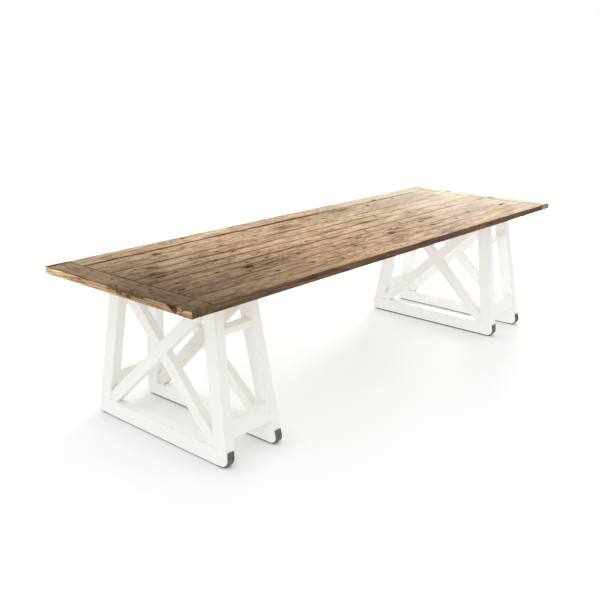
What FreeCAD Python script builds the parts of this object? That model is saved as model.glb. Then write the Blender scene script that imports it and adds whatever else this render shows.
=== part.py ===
import FreeCAD
import Part
import Sketcher
import os
import re

# A long sawbuck table. Ten reclaimed planks, tongued together and capped by an end board at each
# end, lie on two painted trestles. A trestle is two braced frames that lean towards each other and
# are tied by two low stretchers and two flat upper bars. The frames stand on rounded foot runners
# with a rubber strip under each.
#
# The origin is on the floor below the middle of the top. +X runs along the table, +Y to its back
# and +Z up. Everything is in millimetres and degrees.

# Driving sizes
SIZES = (
    # The whole table
    ("table_length", 3000),
    ("table_width", 1020),
    ("table_height", 775),
    ("top_thickness", 33),
    # The top
    ("left_end_board_width", 116),
    ("right_end_board_width", 100),
    ("seam", 0.4),
    ("seam_chamfer", 1.5),
    ("edge_tongue_depth", 8),
    ("edge_tongue_thickness", 10),
    ("end_tongue_length", 20),
    ("end_tongue_thickness", 11),
    ("groove_stop", 24),
    ("batten_length", 860),
    ("batten_width", 120),
    ("batten_thickness", 28),
    ("batten_bevel", 16),
    # Where a trestle stands, and how its frames lean
    ("end_overhang", 196),
    ("side_overhang", 45),
    ("foot_spread", 177),
    ("lean_angle", 4.15),
    ("side_angle", 8.4),
    # The boards of a frame
    ("frame_thickness", 50),
    ("runner_top", 80),
    ("toe_radius", 34),
    ("stile_width", 78),
    ("head_rail_height", 56),
    ("brace_width", 60),
    ("brace_thickness", 38),
    # The rungs that tie two frames
    ("stretcher_lift", 40),
    ("stretcher_height", 85),
    ("stretcher_thickness", 38),
    ("stretcher_setback", 3),
    ("bar_drop", 91),
    ("bar_height", 30),
    ("bar_width", 60),
    # Mortises and tenons
    ("tenon_thickness", 16),
    ("tenon_length", 36),
    ("tenon_shoulder", 12),
    ("stub_length", 22),
    ("bar_shoulder", 7),
    ("joint_clearance", 0.3),
    # The rubber strip under a runner
    ("strip_thickness", 5),
    ("strip_width", 36),
    ("strip_reach", 73),
    ("strip_ease", 0.5),
    # The coach screws that hold the top down
    ("screw_diameter", 8),
    ("screw_length", 80),
    ("screw_head_radius", 7.5),
    ("screw_head_height", 5.5),
    # How far a cut runs past what it cuts
    ("overrun", 2),
)

# The planks from the back to the front, as shares of the table's width
PLANK_SHARES = (0.124, 0.092, 0.104, 0.093, 0.083, 0.100, 0.074, 0.108, 0.092, 0.130)

# The rows of coach screws from the back to the front, as shares of the table's width
SCREW_SHARES = (0.350, 0.535, 0.715)

# Sizes worked out from the driving ones
WORKED = (
    ("half_length", "table_length / 2"),
    ("half_width", "table_width / 2"),
    ("underside", "table_height - top_thickness"),
    ("left_field", "half_length - left_end_board_width - seam"),
    ("right_field", "half_length - right_end_board_width - seam"),
    ("mid_top", "underside + top_thickness / 2"),
    ("trestle_centre", "half_length - end_overhang - foot_spread"),
    ("foot_half_width", "half_width - side_overhang"),
    ("lean_rate", "tan(lean_angle)"),
    ("side_rate", "tan(side_angle)"),
    ("lean_stretch", "1 / cos(lean_angle)"),
    ("side_stretch", "1 / cos(side_angle)"),
    ("head_foot", "underside - head_rail_height"),
    ("inner_gap", "foot_spread - frame_thickness"),
    ("rail_reach", "foot_spread - frame_thickness / 2 - (head_foot + head_rail_height / 2) * lean_rate"),
    # The corners inside a frame, on the runner and under the head rail
    ("low_corner", "foot_half_width - runner_top * side_rate - stile_width"),
    ("high_corner", "foot_half_width - head_foot * side_rate - stile_width"),
    # The braces from corner to corner, in the plane of the frame
    ("stile_drift", "side_rate / lean_stretch"),
    ("brace_slope", "(head_foot - runner_top) * lean_stretch / (low_corner + high_corner)"),
    ("brace_half_drop", "brace_width / 2 * sqrt(1 + brace_slope * brace_slope)"),
    ("brace_half_shift", "brace_half_drop / brace_slope"),
    ("low_cut", "brace_half_drop / (1 - brace_slope * stile_drift)"),
    ("high_cut", "brace_half_drop / (1 + brace_slope * stile_drift)"),
    ("crossing", "runner_top * lean_stretch + brace_slope * low_corner"),
    # The rungs
    ("stretcher_foot", "runner_top + stretcher_lift"),
    ("stretcher_top", "stretcher_foot + stretcher_height"),
    ("bar_top", "head_foot - bar_drop"),
    ("bar_foot", "bar_top - bar_height"),
    ("bar_middle", "foot_half_width - (bar_foot + bar_height / 2) * side_rate - stile_width / 2"),
)

ALONG = FreeCAD.Vector(1, 0, 0)
ACROSS = FreeCAD.Vector(0, 1, 0)
UP = FreeCAD.Vector(0, 0, 1)
HALF_TURN_ANGLE = 180

document = FreeCAD.newDocument("sawbuck_table")
sheet_of = {}
pieces = []


# Helpers for the sheets

def formula(text):
    """An expression in which every size is read from its sheet."""
    return re.sub(r"[a-z_]+", lambda word: sheet_of.get(word.group(), word.group()), text)


def add_sheet(name, rows, write):
    """A sheet with one named cell for each row, each written by the function given."""
    sheet = document.addObject("Spreadsheet::Sheet", name)
    for row, (alias, entry) in enumerate(rows, 1):
        cell = f"A{row}"
        sheet.set(cell, write(entry))
        sheet.setAlias(cell, alias)
        sheet_of[alias] = f"{name}.{alias}"
    document.recompute()
    return sheet


def size(text):
    """The present value of an expression."""
    return float(sizes.evalExpression(formula(text)))


def bind(thing, **bindings):
    """Tie properties to expressions; two underscores in a name stand for a dot."""
    for name, text in bindings.items():
        thing.setExpression(name.replace("__", "."), formula(text))


# Helpers for bodies, sketches and features

def new_body(label, turn=0):
    """A body of its own, turned about the vertical axis."""
    body = document.addObject("PartDesign::Body", label)
    body.Label = label
    body.Placement = FreeCAD.Placement(FreeCAD.Vector(), FreeCAD.Rotation(UP, turn))
    pieces.append(body)
    return body


def new_sketch(body, role, offset, tilt):
    """An empty sketch on one of the body's planes, moved along its normal and tilted about its level axis."""
    sketch = body.newObject("Sketcher::SketchObject", "Outline")
    plane = next(each for each in body.Origin.OriginFeatures if each.Role == role)
    sketch.AttachmentSupport = (plane, "")
    sketch.MapMode = "FlatFace"
    if tilt:
        sketch.AttachmentOffset = FreeCAD.Placement(FreeCAD.Vector(), FreeCAD.Rotation(ALONG, size(tilt)))
        bind(sketch, AttachmentOffset__Rotation__Angle=tilt)
    bind(sketch, AttachmentOffset__Base__z=offset)
    return sketch


def place(sketch, index, point, across, up):
    """Tie a point of the sketch to its place, measured from the sketch's origin."""
    for kind, text in (("DistanceX", across), ("DistanceY", up)):
        rule = sketch.addConstraint(Sketcher.Constraint(kind, -1, 1, index, point, size(text)))
        sketch.setExpression(f"Constraints[{rule}]", formula(text))


def outline(body, role, loops, offset="0", tilt=None):
    """A sketch of closed loops of straight edges, each loop a list of corners."""
    sketch = new_sketch(body, role, offset, tilt)
    for corners in loops:
        first = sketch.GeometryCount
        points = [FreeCAD.Vector(size(across), size(up), 0) for across, up in corners]
        count = len(points)
        for index, start in enumerate(points):
            sketch.addGeometry(Part.LineSegment(start, points[(index + 1) % count]), False)
        for index, (across, up) in enumerate(corners):
            end = first + (index + 1) % count
            sketch.addConstraint(Sketcher.Constraint("Coincident", first + index, 2, end, 1))
            place(sketch, first + index, 1, across, up)
    return sketch


def rounds(body, offset, centres, radius):
    """A level sketch of circles of one radius."""
    sketch = new_sketch(body, "XY_Plane", offset, None)
    for across, up in centres:
        centre = FreeCAD.Vector(size(across), size(up), 0)
        index = sketch.addGeometry(Part.Circle(centre, UP, size(radius)), False)
        place(sketch, index, 3, across, up)
        rule = sketch.addConstraint(Sketcher.Constraint("Radius", index, size(radius)))
        sketch.setExpression(f"Constraints[{rule}]", formula(radius))
    return sketch


def extrude(body, kind, sketch, direction, length):
    """Pad or pocket a sketch along a direction of the body."""
    feature = body.newObject(f"PartDesign::{kind}", kind)
    feature.Profile = sketch
    feature.UseCustomVector = True
    feature.Direction = direction
    feature.AlongSketchNormal = False
    bind(feature, Length=length)
    return feature


def cut(body, sketch, direction, length):
    """A pocket, which must take something away."""
    document.recompute()
    before = body.Shape.Volume
    extrude(body, "Pocket", sketch, direction, length)
    document.recompute()
    if body.Shape.Volume >= before:
        raise RuntimeError(f"a cut in {body.Label} removes nothing")


def fillet_along(body, height, radius):
    """Round the body's edges that run along X at one height."""
    document.recompute()
    base = body.Tip
    names = []
    for number, edge in enumerate(base.Shape.Edges, 1):
        start, end = (vertex.Point for vertex in edge.Vertexes)
        level = abs(start.z - size(height)) + abs(end.z - size(height)) < Part.Precision.confusion()
        if level and (end - start).cross(ALONG).Length < Part.Precision.confusion():
            names.append(f"Edge{number}")
    feature = body.newObject("PartDesign::Fillet", "Round")
    feature.Base = (base, names)
    bind(feature, Radius=radius)


# The top

def across_top(share):
    """The Y that lies a share of the table's width from its back edge."""
    return f"(half_width - table_width * {share:.3f})"


def share_before(number):
    """The share of the width taken up by the planks behind one."""
    return sum(PLANK_SHARES[:number - 1])


def side_groove(edge):
    """The groove along a plank's back edge, from the top down."""
    deep = f"{edge} - edge_tongue_depth - joint_clearance"
    reach = "(edge_tongue_thickness / 2 + joint_clearance)"
    return [(edge, f"mid_top + {reach}"), (deep, f"mid_top + {reach}"),
            (deep, f"mid_top - {reach}"), (edge, f"mid_top - {reach}")]


def side_tongue(edge):
    """The tongue along a plank's front edge, from the bottom up."""
    proud = f"{edge} - edge_tongue_depth"
    reach = "edge_tongue_thickness / 2"
    return [(edge, f"mid_top - {reach}"), (proud, f"mid_top - {reach}"),
            (proud, f"mid_top + {reach}"), (edge, f"mid_top + {reach}")]


def make_plank(number):
    """A plank with a groove behind, a tongue in front and a tongue at each end."""
    body = new_body(f"top_plank_{number:02d}")
    is_back = number == 1
    is_front = number == len(PLANK_SHARES)
    near_share = share_before(number)
    far_share = share_before(number + 1)
    back = across_top(near_share) if is_back else f"({across_top(near_share)} - seam / 2)"
    front = across_top(far_share) if is_front else f"({across_top(far_share)} + seam / 2)"
    section = [(f"{back} - seam_chamfer", "table_height"), (back, "table_height - seam_chamfer")]
    section += [] if is_back else side_groove(back)
    section += [(back, "underside"), (front, "underside")]
    section += [] if is_front else side_tongue(front)
    section += [(front, "table_height - seam_chamfer"), (f"{front} + seam_chamfer", "table_height")]
    extrude(body, "Pad", outline(body, "YZ_Plane", [section], "-left_field"), ALONG, "left_field + right_field")
    # The end tongues keep clear of the side groove and of the stopped ends of the end boards' grooves
    stop = "half_width - groove_stop - joint_clearance"
    tongue_back = stop if is_back else f"{back} - edge_tongue_depth - joint_clearance"
    tongue_front = f"-({stop})" if is_front else front
    low = "mid_top - end_tongue_thickness / 2"
    high = "mid_top + end_tongue_thickness / 2"
    tongue = [(tongue_back, low), (tongue_back, high), (tongue_front, high), (tongue_front, low)]
    sketch = outline(body, "YZ_Plane", [tongue], "-left_field - end_tongue_length")
    extrude(body, "Pad", sketch, ALONG, "left_field + right_field + 2 * end_tongue_length")
    screw_shares = [share for share in SCREW_SHARES if near_share < share < far_share]
    if screw_shares:
        centres = [(f"{trestle} * trestle_centre + {frame} * rail_reach", across_top(share))
                   for trestle in (-1, 1) for frame in (-1, 1) for share in screw_shares]
        holes = rounds(body, "underside", centres, "screw_diameter / 2 + joint_clearance")
        cut(body, holes, UP, "screw_length - head_rail_height + joint_clearance")


def make_end_board(label, turn, width):
    """A board across the planks' ends, with a groove that stops short of its own ends."""
    body = new_body(label, turn)
    inner = f"-half_length + {width}"
    section = [("-half_length", "underside"), (inner, "underside"),
               (inner, "table_height - seam_chamfer"), (f"{inner} - seam_chamfer", "table_height"),
               ("-half_length + seam_chamfer", "table_height"), ("-half_length", "table_height - seam_chamfer")]
    extrude(body, "Pad", outline(body, "XZ_Plane", [section], "-half_width"), -ACROSS, "table_width")
    reach = "(end_tongue_thickness / 2 + joint_clearance)"
    deep = f"{inner} + seam - end_tongue_length - joint_clearance"
    groove = [(deep, f"mid_top - {reach}"), (f"{inner} + overrun", f"mid_top - {reach}"),
              (f"{inner} + overrun", f"mid_top + {reach}"), (deep, f"mid_top + {reach}")]
    sketch = outline(body, "XZ_Plane", [groove], "-(half_width - groove_stop)")
    cut(body, sketch, -ACROSS, "table_width - 2 * groove_stop")


def make_batten(label, middle):
    """A batten under the planks, bevelled at its ends."""
    body = new_body(label)
    bind(body, Placement__Base__x=middle)
    end = "batten_length / 2"
    low = "underside - batten_thickness"
    section = [(f"-({end})", "underside"), (f"-({end})", f"{low} + batten_bevel"),
               (f"-({end}) + batten_bevel", low), (f"{end} - batten_bevel", low),
               (end, f"{low} + batten_bevel"), (end, "underside")]
    extrude(body, "Pad", outline(body, "YZ_Plane", [section], "-batten_width / 2"), ALONG, "batten_width")


# The frames, drawn on their leaning outer face at the -X side of a trestle

OUTER_FACE = "-foot_spread"
TENON_FACE = "-foot_spread + (frame_thickness - tenon_thickness) / 2"
BRACE_FACE = "-foot_spread + (frame_thickness - brace_thickness) / 2"


def frame_body(label, trestle, turn):
    """A body on a trestle, turned about the trestle's own middle."""
    body = new_body(label, turn)
    bind(body, Placement__Base__x=f"{trestle} * trestle_centre")
    return body


def leaning(loops):
    """Corners given by their height, taken up the lean of the frame."""
    return [[(across, f"({height}) * lean_stretch") for across, height in loop] for loop in loops]


def leaning_outline(body, loops, offset=OUTER_FACE):
    """A sketch on a plane that leans with the frame."""
    return outline(body, "YZ_Plane", loops, offset, "lean_angle")


def tenon_loop(side, corner, low, high, ease="0"):
    """A stile's tenon between two heights, or with some ease the mortise for it."""
    near = f"{side} * ({corner} + tenon_shoulder - {ease})"
    far = f"{side} * ({corner} + stile_width - tenon_shoulder + {ease})"
    return [(near, low), (far, low), (far, high), (near, high)]


def cut_mortises(body, corner, low, high):
    """The two mortises of a rail for the stiles' tenons."""
    loops = [tenon_loop(side, corner, low, high, "joint_clearance") for side in (-1, 1)]
    sketch = leaning_outline(body, leaning(loops), f"{TENON_FACE} - joint_clearance")
    cut(body, sketch, ALONG, "tenon_thickness + 2 * joint_clearance")


def rail_loop(low, high):
    """A rail from side to side of the frame between two heights."""
    reach = "foot_half_width - ({0}) * side_rate"
    wide = reach.format(low)
    narrow = reach.format(high)
    return [(f"-({wide})", low), (wide, low), (narrow, high), (f"-({narrow})", high)]


def make_runner(label, trestle, turn):
    """The foot of a frame, with rounded toes and a mortise for each stile."""
    body = frame_body(label, trestle, turn)
    sketch = leaning_outline(body, leaning([rail_loop("strip_thickness", "runner_top")]))
    extrude(body, "Pad", sketch, ALONG, "frame_thickness")
    fillet_along(body, "strip_thickness", "toe_radius")
    cut_mortises(body, "low_corner", "runner_top - tenon_length - joint_clearance", "runner_top + overrun")


def make_head_rail(label, trestle, turn):
    """The rail under the top, with mortises below and holes for three coach screws."""
    body = frame_body(label, trestle, turn)
    sketch = leaning_outline(body, leaning([rail_loop("head_foot", "underside")]))
    extrude(body, "Pad", sketch, ALONG, "frame_thickness")
    cut_mortises(body, "high_corner", "head_foot - overrun", "head_foot + tenon_length + joint_clearance")
    way = -1 if turn else 1
    centres = [("-rail_reach", f"{way} * {across_top(share)}") for share in SCREW_SHARES]
    holes = rounds(body, "head_foot - overrun", centres, "screw_diameter / 2 + joint_clearance")
    cut(body, holes, UP, "head_rail_height + 2 * overrun")


def make_stile(label, trestle, turn, side):
    """A sloping upright with a tenon at each end and mortises for its two rungs."""
    body = frame_body(label, trestle, turn)
    upright = [(f"{side} * (low_corner + stile_width)", "runner_top"),
               (f"{side} * (high_corner + stile_width)", "head_foot"),
               (f"{side} * high_corner", "head_foot"), (f"{side} * low_corner", "runner_top")]
    extrude(body, "Pad", leaning_outline(body, leaning([upright])), ALONG, "frame_thickness")
    tenons = [tenon_loop(side, "low_corner", "runner_top - tenon_length", "runner_top + overrun"),
              tenon_loop(side, "high_corner", "head_foot - overrun", "head_foot + tenon_length")]
    for tenon in tenons:
        extrude(body, "Pad", leaning_outline(body, leaning([tenon]), TENON_FACE), ALONG, "tenon_thickness")
    for rung in (STRETCHER, BAR):
        cut_rung_mortise(body, rung, side)


def make_brace(label, trestle, turn, side):
    """A brace from the head corner on one side to the foot corner on the other, lapped in the middle."""
    body = frame_body(label, trestle, turn)
    high = "head_foot * lean_stretch"
    low = "runner_top * lean_stretch"
    corners = [("high_corner - brace_half_shift", high), ("high_corner", high),
               ("high_corner + high_cut * stile_drift", f"{high} - high_cut"),
               ("-low_corner + brace_half_shift", low), ("-low_corner", low),
               ("-low_corner + low_cut * stile_drift", f"{low} + low_cut")]
    loop = [(f"{side} * ({across})", up) for across, up in corners]
    extrude(body, "Pad", leaning_outline(body, [loop], BRACE_FACE), ALONG, "brace_thickness")
    # The lap is cut to the width of the brace that crosses this one
    reach = "(brace_half_shift + overrun)"
    half = "(brace_half_drop * (1 + joint_clearance / brace_width))"
    lap = [(f"{way} * {side} * {reach}", f"crossing - {way} * brace_slope * {reach} + {edge} * {half}")
           for way, edge in ((1, 1), (1, -1), (-1, -1), (-1, 1))]
    start = BRACE_FACE if side > 0 else f"{BRACE_FACE} + brace_thickness / 2"
    depth = "brace_thickness / 2" if side > 0 else "brace_thickness / 2 + overrun"
    cut(body, leaning_outline(body, [lap], start), ALONG, depth)


def make_strip(label, trestle, turn):
    """The rubber strip under a runner, turned up round both toes."""
    body = frame_body(label, trestle, turn)
    inside = "foot_half_width - ({0}) * side_rate"
    outside = inside + " + strip_thickness * side_stretch"
    half = [(outside.format("0"), "0"), (outside.format("strip_reach"), "strip_reach"),
            (inside.format("strip_reach"), "strip_reach"), (inside.format("strip_thickness"), "strip_thickness")]
    other = [(f"-({across})", height) for across, height in reversed(half)]
    offset = f"{OUTER_FACE} + (frame_thickness - strip_width) / 2"
    sketch = leaning_outline(body, leaning([half + other]), offset)
    extrude(body, "Pad", sketch, ALONG, "strip_width")
    # The inside is rounded first, because the outside alone would break through the strip
    fillet_along(body, "strip_thickness", "toe_radius - strip_ease")
    fillet_along(body, "0", "toe_radius + strip_thickness")


# The rungs, drawn on their outer face at the +Y side of a trestle

STRETCHER = {
    "tilt": "side_angle",
    "stretch": "side_stretch",
    "outer": "foot_half_width - stretcher_setback",
    "thickness": "stretcher_thickness",
    "cheek": "(stretcher_thickness - tenon_thickness) / 2",
    "foot": "stretcher_foot",
    "head": "stretcher_top",
    "shoulder": "tenon_shoulder",
}
BAR = {
    "tilt": None,
    "stretch": "1",
    "outer": "bar_middle + bar_width / 2",
    "thickness": "bar_width",
    "cheek": "tenon_shoulder",
    "foot": "bar_foot",
    "head": "bar_top",
    "shoulder": "bar_shoulder",
}


def rung_end(height, past):
    """How far from the trestle's middle plane a rung reaches at a height, past the frame's inner face."""
    return f"(inner_gap - ({height}) * lean_rate + {past})"


def make_rung(label, trestle, turn, rung):
    """A stretcher or an upper bar, with ends cut to the lean and a stub tenon on each."""
    body = frame_body(label, trestle, turn)
    tenon_foot = f"{rung['foot']} + {rung['shoulder']}"
    tenon_head = f"{rung['head']} - {rung['shoulder']}"
    layers = ((rung["foot"], rung["head"], "0", "0"), (tenon_foot, tenon_head, "stub_length", rung["cheek"]))
    for low, high, past, inset in layers:
        loop = [(f"{way} * {rung_end(height, past)}", f"({height}) * {rung['stretch']}")
                for way, height in ((-1, low), (1, low), (1, high), (-1, high))]
        sketch = outline(body, "XZ_Plane", [loop], f"-({rung['outer']}) + {inset}", rung["tilt"])
        extrude(body, "Pad", sketch, -ACROSS, f"{rung['thickness']} - 2 * ({inset})")


def cut_rung_mortise(body, rung, side):
    """The mortise in a stile for a rung's stub tenon."""
    low = f"{rung['foot']} + {rung['shoulder']} - joint_clearance"
    high = f"{rung['head']} - {rung['shoulder']} + joint_clearance"
    deep = "stub_length + joint_clearance"
    loop = [(f"-{rung_end(height, past)}", f"({height}) * {rung['stretch']}")
            for height, past in ((low, deep), (high, deep), (high, "-overrun"), (low, "-overrun"))]
    offset = f"{-side} * ({rung['outer']} - {rung['cheek']} + joint_clearance)"
    tilt = f"{side} * {rung['tilt']}" if rung["tilt"] else None
    sketch = outline(body, "XZ_Plane", [loop], offset, tilt)
    length = f"{rung['thickness']} - 2 * ({rung['cheek']}) + 2 * joint_clearance"
    cut(body, sketch, ACROSS * -side, length)


# The coach screws

def make_screw(across, along):
    """One coach screw, up through a head rail into a plank."""
    head = document.addObject("Part::Prism", "ScrewHead")
    head.Polygon = 6
    bind(head, Circumradius="screw_head_radius", Height="screw_head_height")
    shank = document.addObject("Part::Cylinder", "ScrewShank")
    bind(shank, Radius="screw_diameter / 2", Height="screw_length + screw_head_height")
    screw = document.addObject("Part::Fuse", "Screw")
    screw.Base = head
    screw.Tool = shank
    bind(screw, Placement__Base__x=along, Placement__Base__y=across,
         Placement__Base__z="head_foot - screw_head_height")
    return screw


def make_screws():
    """All the coach screws, as one group."""
    group = document.addObject("Part::Compound", "coach_screws")
    group.Label = "coach_screws"
    group.Links = [make_screw(across_top(share), f"{trestle} * trestle_centre + {frame} * rail_reach")
                   for trestle in (-1, 1) for frame in (-1, 1) for share in SCREW_SHARES]
    pieces.append(group)


# The whole table

def make_frame(name, trestle, turn):
    """The seven pieces of a frame; a turned frame has its front and back exchanged."""
    near, far = ("back", "front") if turn else ("front", "back")
    make_runner(f"{name}_runner", trestle, turn)
    make_strip(f"{name}_runner_strip", trestle, turn)
    make_stile(f"{name}_{near}_stile", trestle, turn, -1)
    make_stile(f"{name}_{far}_stile", trestle, turn, 1)
    make_head_rail(f"{name}_head_rail", trestle, turn)
    make_brace(f"{name}_notched_brace", trestle, turn, 1)
    make_brace(f"{name}_lapping_brace", trestle, turn, -1)


def make_trestle(name, trestle):
    """Two frames that lean together, and the four rungs between them."""
    outer_turn = 0 if trestle < 0 else HALF_TURN_ANGLE
    make_frame(f"{name}_outer", trestle, outer_turn)
    make_frame(f"{name}_inner", trestle, HALF_TURN_ANGLE - outer_turn)
    for place_name, turn in (("back", 0), ("front", HALF_TURN_ANGLE)):
        make_rung(f"{name}_{place_name}_stretcher", trestle, turn, STRETCHER)
        make_rung(f"{name}_{place_name}_upper_bar", trestle, turn, BAR)


sizes = add_sheet("Sizes", SIZES, str)
add_sheet("Worked", WORKED, lambda text: "=" + formula(text))
for plank in range(1, len(PLANK_SHARES) + 1):
    make_plank(plank)
make_end_board("left_end_board", 0, "left_end_board_width")
make_end_board("right_end_board", HALF_TURN_ANGLE, "right_end_board_width")
make_batten("left_batten", "-trestle_centre")
make_batten("middle_batten", "0")
make_batten("right_batten", "trestle_centre")
make_trestle("left", -1)
make_trestle("right", 1)
make_screws()
document.recompute()

for thing in document.Objects:
    if "Invalid" in thing.State or "Error" in thing.State:
        raise RuntimeError(f"{thing.Label} failed: {thing.State}")
for piece in pieces:
    if piece.Shape.isNull() or not piece.Shape.isValid():
        raise RuntimeError(f"{piece.Label} has no sound shape")

os.makedirs("parts", exist_ok=True)
for piece in pieces:
    piece.Shape.exportStep(f"parts/{piece.Label}.step")
    print(piece.Label, len(piece.Shape.Solids), round(piece.Shape.Volume))
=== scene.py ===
# %% [markdown]
# # A long sawbuck table
# The real table is a top of old pine planks that lies on two white trestles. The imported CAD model
# already has every board in its place, so this lesson starts from it: each board is copied, given
# the worn edges and the finish of the real one, and stands for its CAD solid from then on.

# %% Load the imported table
import math

import bmesh
import bpy
from mathutils import Euler, Matrix, Vector, noise


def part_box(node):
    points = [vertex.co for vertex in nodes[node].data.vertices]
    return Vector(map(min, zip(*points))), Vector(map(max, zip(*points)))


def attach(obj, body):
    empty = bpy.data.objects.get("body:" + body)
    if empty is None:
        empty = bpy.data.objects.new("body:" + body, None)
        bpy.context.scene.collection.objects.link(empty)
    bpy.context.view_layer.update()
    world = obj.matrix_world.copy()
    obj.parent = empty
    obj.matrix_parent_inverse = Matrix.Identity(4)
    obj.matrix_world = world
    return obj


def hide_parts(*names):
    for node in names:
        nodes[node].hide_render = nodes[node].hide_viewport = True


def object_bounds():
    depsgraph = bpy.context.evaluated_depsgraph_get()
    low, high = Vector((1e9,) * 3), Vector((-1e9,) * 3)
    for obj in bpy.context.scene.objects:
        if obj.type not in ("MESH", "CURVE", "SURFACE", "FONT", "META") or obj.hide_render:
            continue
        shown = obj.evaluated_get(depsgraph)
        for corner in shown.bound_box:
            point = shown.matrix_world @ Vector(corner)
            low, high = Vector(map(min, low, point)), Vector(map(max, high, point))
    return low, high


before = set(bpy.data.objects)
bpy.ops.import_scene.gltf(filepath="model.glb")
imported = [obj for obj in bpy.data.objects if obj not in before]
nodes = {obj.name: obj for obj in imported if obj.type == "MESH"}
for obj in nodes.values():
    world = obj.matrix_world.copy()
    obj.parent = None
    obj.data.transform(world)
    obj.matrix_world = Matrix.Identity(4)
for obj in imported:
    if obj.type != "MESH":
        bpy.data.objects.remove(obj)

cad_low, cad_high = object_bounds()
print("loaded", len(nodes), "solids in a box of", [round(side, 3) for side in cad_high - cad_low], "m")

# %% [markdown]
# ## The camera
# The photograph was taken from the near left, a little above the table. A camera could be turned by
# eye until the picture agrees, but its place was found by fitting a pinhole to the corners of the
# top and the feet, so the fitted values are simply written down here.

# %% The camera
IMAGE_SIDE = 600
FOCAL_PIXELS = 818.7
SENSOR_WIDTH = 36.0
EYE = Vector((-3.4218, -2.7951, 1.7318))
AZIMUTH = math.radians(-47.986)
ELEVATION = math.radians(17.151)
ROLL = math.radians(-0.191)
scene = bpy.context.scene


def new_object(name, data):
    """An object in the scene."""
    made = bpy.data.objects.new(name, data)
    scene.collection.objects.link(made)
    return made


lens = bpy.data.cameras.new("camera")
lens.sensor_width = SENSOR_WIDTH
lens.lens = SENSOR_WIDTH * FOCAL_PIXELS / IMAGE_SIDE
camera = new_object("camera", lens)
facing = Euler((math.pi / 2 - ELEVATION, 0, AZIMUTH)).to_matrix()
camera.location = EYE
camera.rotation_euler = (facing @ Matrix.Rotation(ROLL, 3, "Z")).to_euler()
scene.camera = camera
print("lens", round(lens.lens, 2), "mm")

# %% [markdown]
# ## Helpers for node trees
# A finish is a tree of nodes. The helpers below add one node in one line: an input takes either a
# plain value or the output of another node, which also tells the helper which tree it works on, so
# a material reads from top to bottom like a recipe.

# %% Helpers for nodes
def wire(value, socket):
    """Feed a socket from another node, or set it, a colour with its alpha."""
    if isinstance(value, bpy.types.NodeSocket):
        socket.id_data.links.new(value, socket)
    else:
        socket.default_value = (*value, 1) if socket.type == "RGBA" else value


def feed(sockets, **values):
    """Feed sockets by name, with _ for a space."""
    for name, value in values.items():
        wire(value, sockets[name.replace("_", " ")])


def put(tree, kind, settings=None, **inputs):
    """Add a node with its settings and named inputs."""
    node = tree.nodes.new(f"ShaderNode{kind}")
    for name, value in (settings or {}).items():
        setattr(node, name, value)
    feed(node.inputs, **inputs)
    return node


def tree_of(*values):
    """The tree of the first value that comes from a node."""
    return next(value.id_data for value in values if isinstance(value, bpy.types.NodeSocket))


def put_for(values, kind, **settings):
    """Add a node that takes some values in order."""
    node = put(tree_of(*values), kind, settings)
    for value, socket in zip(values, node.inputs):
        wire(value, socket)
    return node


def calc(operation, *values):
    """A number worked out from other numbers."""
    return put_for(values, "Math", operation=operation).outputs[0]


def times(first, second):
    """The product of two numbers."""
    return calc("MULTIPLY", first, second) if isinstance(first, bpy.types.NodeSocket) else first * second


def largest(values):
    """The largest of some values from nodes, or 0."""
    found = 0.0
    for value in values:
        if isinstance(value, bpy.types.NodeSocket):
            found = calc("MAXIMUM", value, found)
    return found


def vector_calc(operation, *vectors):
    """A vector, or a length or product, worked out from vectors."""
    outputs = put_for(vectors, "VectorMath", operation=operation).outputs
    return outputs["Value" if operation in ("LENGTH", "DOT_PRODUCT") else "Vector"]


def axis(vector, name):
    """One coordinate of a vector."""
    return put(tree_of(vector), "SeparateXYZ", Vector=vector).outputs[name]


def ease(value, start, end, low=0.0, high=1.0):
    """A soft step of a value from one level to another."""
    return put_for((value, start, end, low, high), "MapRange", interpolation_type="SMOOTHSTEP").outputs[0]


def mix(factor, first, second, mode="MIX"):
    """Two colours mixed by a factor."""
    node = put(tree_of(factor, first, second), "Mix", {"data_type": "RGBA", "blend_type": mode})
    for given, index in ((factor, 0), (first, 6), (second, 7)):
        wire(given, node.inputs[index])
    return node.outputs[2]


def even_noise(vector, scale, detail, roughness=0.5):
    """Noise that is the same every way, from 0 to 1."""
    return put(tree_of(vector), "TexNoise", Vector=vector, Scale=scale, Detail=detail,
               Roughness=roughness).outputs[0]


def streaky_noise(vector, stretch, detail, roughness):
    """Noise drawn out along one axis, from 0 to 1."""
    return even_noise(vector_calc("MULTIPLY", vector, stretch), 1.0, detail, roughness)


def bump(height, distance):
    """A normal that follows a height."""
    return put(tree_of(height), "Bump", Height=height, Distance=distance).outputs[0]


print("helpers for nodes ready")

# %% Helpers for groups and materials
VECTOR_LABELS = ("Vector", "Centre", "Reach")


def new_group(name, inputs, outputs):
    """An empty node group: its tree, inputs and outputs."""
    tree = bpy.data.node_groups.new(name, "ShaderNodeTree")
    for way, labels in (("INPUT", inputs), ("OUTPUT", outputs)):
        for label in labels:
            kind = "Vector" if label in VECTOR_LABELS else "Float"
            tree.interface.new_socket(name=label, in_out=way, socket_type=f"NodeSocket{kind}")
    return tree, tree.nodes.new("NodeGroupInput").outputs, tree.nodes.new("NodeGroupOutput").inputs


def use(group, **inputs):
    """A group placed in a material with its own values."""
    return put(tree_of(*inputs.values()), "Group", {"node_tree": group}, **inputs).outputs


def empty_tree(owner):
    """The emptied node tree of a material or a world."""
    owner.use_nodes = True
    owner.node_tree.nodes.clear()
    return owner.node_tree


def new_material(name, **settings):
    """A material with one shader: the material, its tree and the shader's inputs."""
    material = bpy.data.materials.new(name)
    tree = empty_tree(material)
    shader = put(tree, "BsdfPrincipled", **settings)
    wire(shader.outputs[0], put(tree, "OutputMaterial").inputs["Surface"])
    return material, tree, shader.inputs


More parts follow.
